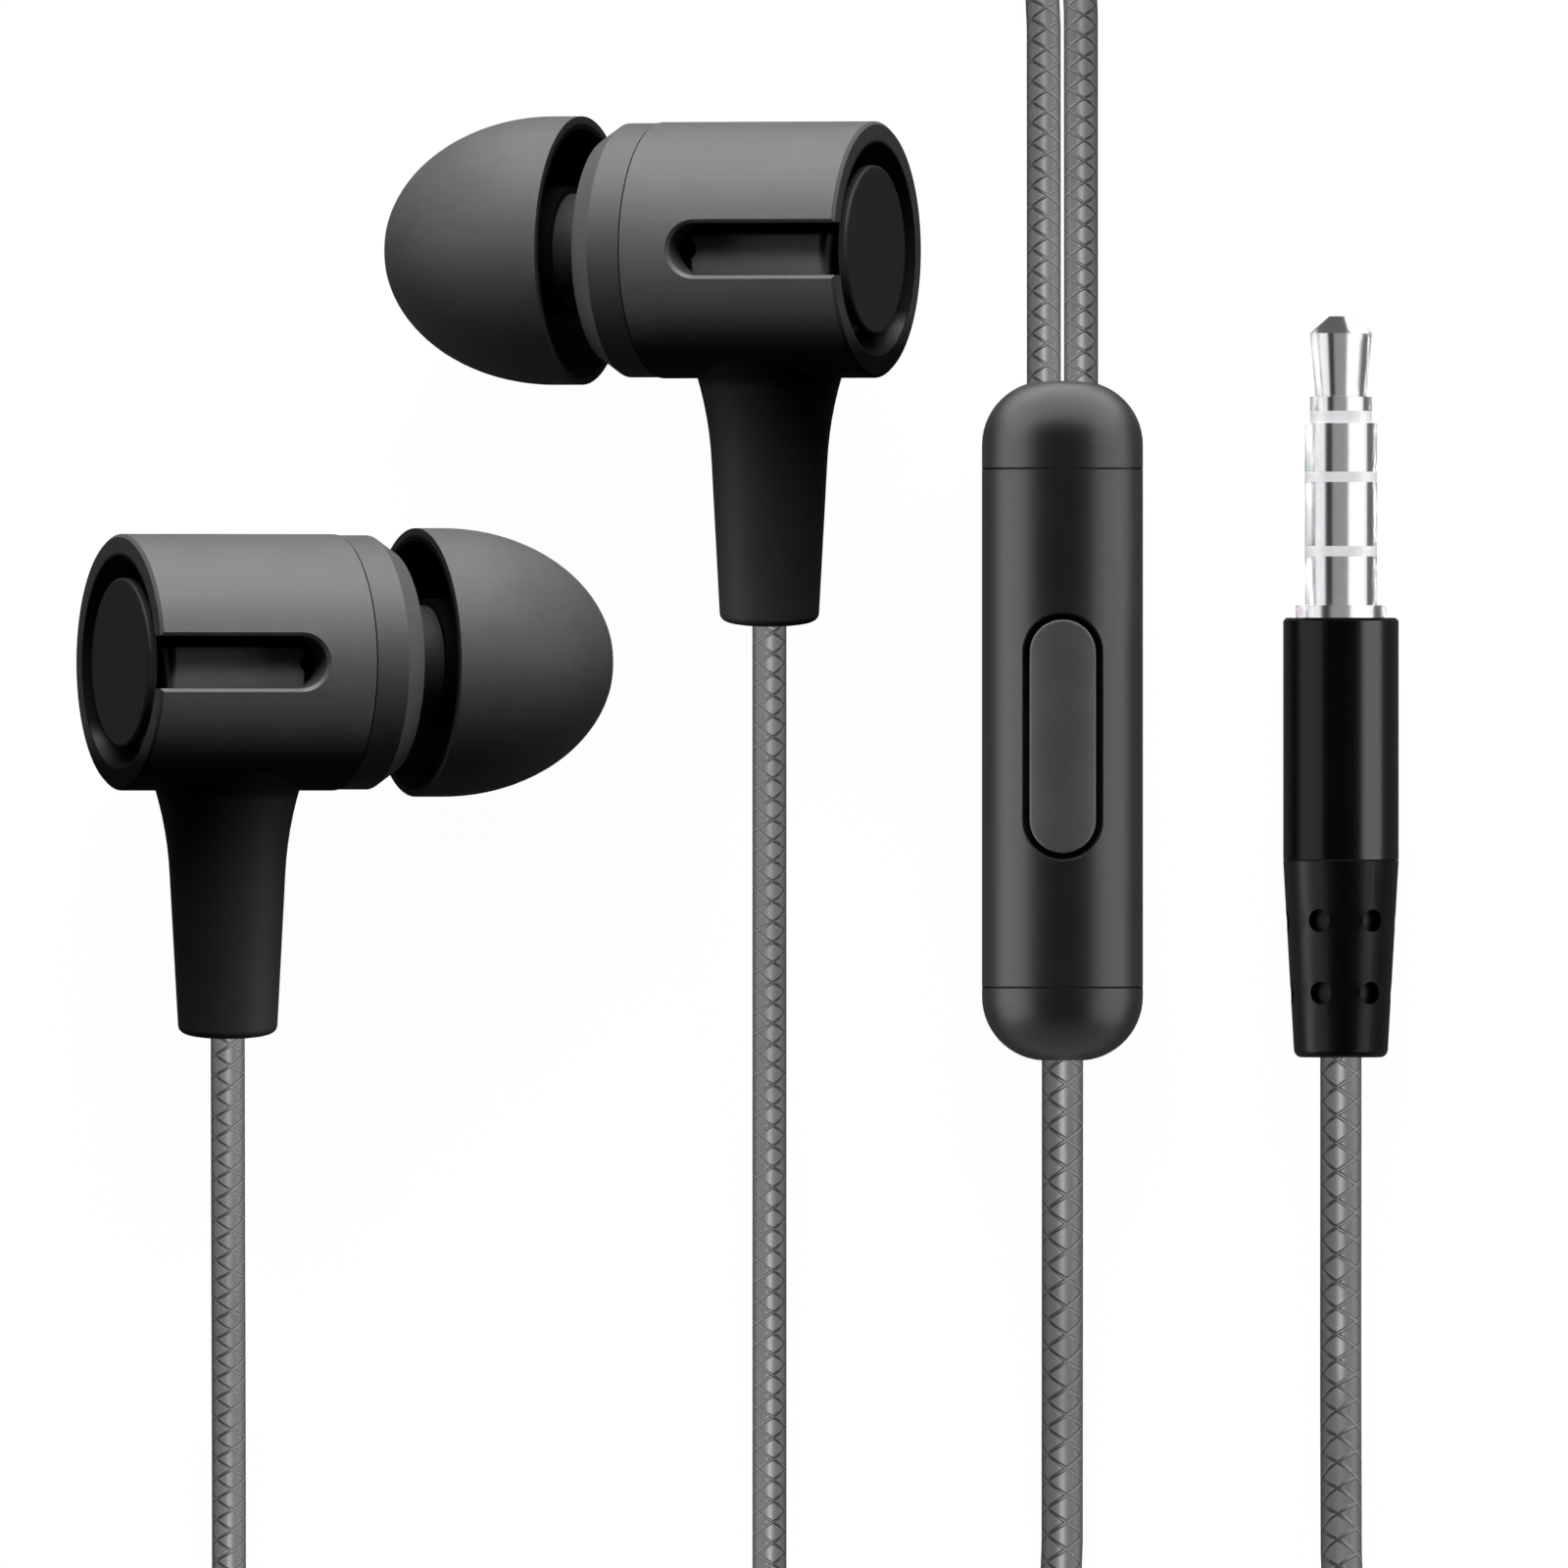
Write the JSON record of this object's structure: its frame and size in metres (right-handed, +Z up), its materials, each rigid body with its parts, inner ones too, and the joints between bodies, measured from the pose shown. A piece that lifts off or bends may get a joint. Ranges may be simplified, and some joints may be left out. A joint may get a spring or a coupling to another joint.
{
  "type": "wired earphones",
  "caption": "Wired in-ear earphones with slotted barrel housings, silicone ear tips, an in-line button pod with a microphone, embossed cords and a slim audio plug.",
  "frame": {"origin": "on the surface the earphones lie on, under the middle of the two earpieces", "axes": "+Z up from the surface, +Y from the stems' cord ends towards the barrels, +X from the left earpiece towards the pod and the plug"},
  "size_m": [0.0856, 0.1219, 0.0182],
  "materials": {
    "board_green": "solder-masked board",
    "button_plastic": "satin",
    "chamber_plastic": "matt",
    "chip_plastic": "plain",
    "cord_rubber": "satin, embossed",
    "disc_plastic": "matt",
    "film": "clear amber film",
    "frame_metal": "satin",
    "gasket_rubber": "plain",
    "housing_plastic": "matt, lightly grained",
    "magnet_nickel": "plated",
    "mesh_steel": "black-plated, satin",
    "plug_insulator": "polished, white",
    "plug_metal": "polished nickel plate",
    "plug_plastic": "gloss",
    "plunger_plastic": "plain",
    "pod_plastic": "satin",
    "relief_rubber": "satin",
    "shell_plastic": "satin",
    "switch_metal": "plain",
    "tip_silicone": "soft, satin",
    "voice_coil_copper": "enamelled wire",
    "yoke_steel": "satin"
  },
  "bodies": {
    "button": {"pod_button": "button_plastic"},
    "switch_plunger": {"pod_switch_plunger": "plunger_plastic"},
    "left_tip": {"left_ear_tip": "tip_silicone"},
    "left_moving_film": {"left_diaphragm": "film", "left_voice_coil": "voice_coil_copper"},
    "right_tip": {"right_ear_tip": "tip_silicone"},
    "right_moving_film": {"right_diaphragm": "film", "right_voice_coil": "voice_coil_copper"},
    "earphones": {"left_back_disc": "disc_plastic", "left_cord_at_earpiece": "cord_rubber", "left_cord_at_pod": "cord_rubber", "left_cord_coil": "cord_rubber", "left_cord_knot": "cord_rubber", "left_driver_frame": "frame_metal", "left_front_shell": "shell_plastic", "left_housing": "housing_plastic", "left_magnet": "magnet_nickel", "left_nozzle_mesh": "mesh_steel", "left_rear_chamber": "chamber_plastic", "left_terminal_board": "board_green", "left_top_plate": "yoke_steel", "left_yoke": "yoke_steel", "main_cord_at_plug": "cord_rubber", "main_cord_at_pod": "cord_rubber", "main_cord_coil": "cord_rubber", "plug_housing": "plug_plastic", "plug_insulator_1": "plug_insulator", "plug_insulator_2": "plug_insulator", "plug_insulator_3": "plug_insulator", "plug_ring_1": "plug_metal", "plug_ring_2": "plug_metal", "plug_sleeve": "plug_metal", "plug_strain_relief": "relief_rubber", "plug_tip": "plug_metal", "pod_bottom_cap": "pod_plastic", "pod_chips": "chip_plastic", "pod_circuit_board": "board_green", "pod_microphone": "switch_metal", "pod_microphone_gasket": "gasket_rubber", "pod_switch_body": "switch_metal", "pod_top_cap": "pod_plastic", "pod_tube": "pod_plastic", "right_back_disc": "disc_plastic", "right_cord_at_earpiece": "cord_rubber", "right_cord_at_pod": "cord_rubber", "right_cord_coil": "cord_rubber", "right_cord_knot": "cord_rubber", "right_driver_frame": "frame_metal", "right_front_shell": "shell_plastic", "right_housing": "housing_plastic", "right_magnet": "magnet_nickel", "right_nozzle_mesh": "mesh_steel", "right_rear_chamber": "chamber_plastic", "right_terminal_board": "board_green", "right_top_plate": "yoke_steel", "right_yoke": "yoke_steel"}
  },
  "joints": [
    {"name": "button_press", "type": "slide", "parent": "earphones", "child": "button", "axis": [0, 0, -1], "range_m": [0, 0.0003], "stiffness_N_per_m": 1500},
    {"name": "switch_press", "type": "slide", "parent": "earphones", "child": "switch_plunger", "axis": [0, 0, -1], "range_m": [0, 0.0003]},
    {"name": "left_tip_pull", "type": "slide", "parent": "earphones", "child": "left_tip", "axis": [0.9367, 0, -0.3502], "range_m": [0, 0.004]},
    {"name": "left_film_stroke", "type": "slide", "parent": "earphones", "child": "left_moving_film", "axis": [0.9367, 0, -0.3502], "range_m": [-0.00015, 0.00015], "stiffness_N_per_m": 500},
    {"name": "right_tip_pull", "type": "slide", "parent": "earphones", "child": "right_tip", "axis": [-0.9367, 0, -0.3502], "range_m": [0, 0.004]},
    {"name": "right_film_stroke", "type": "slide", "parent": "earphones", "child": "right_moving_film", "axis": [-0.9367, 0, -0.3502], "range_m": [-0.00015, 0.00015], "stiffness_N_per_m": 500}
  ],
  "couplings": [
    {"joint": "switch_press", "follows": "button_press", "ratio": 1}
  ]
}
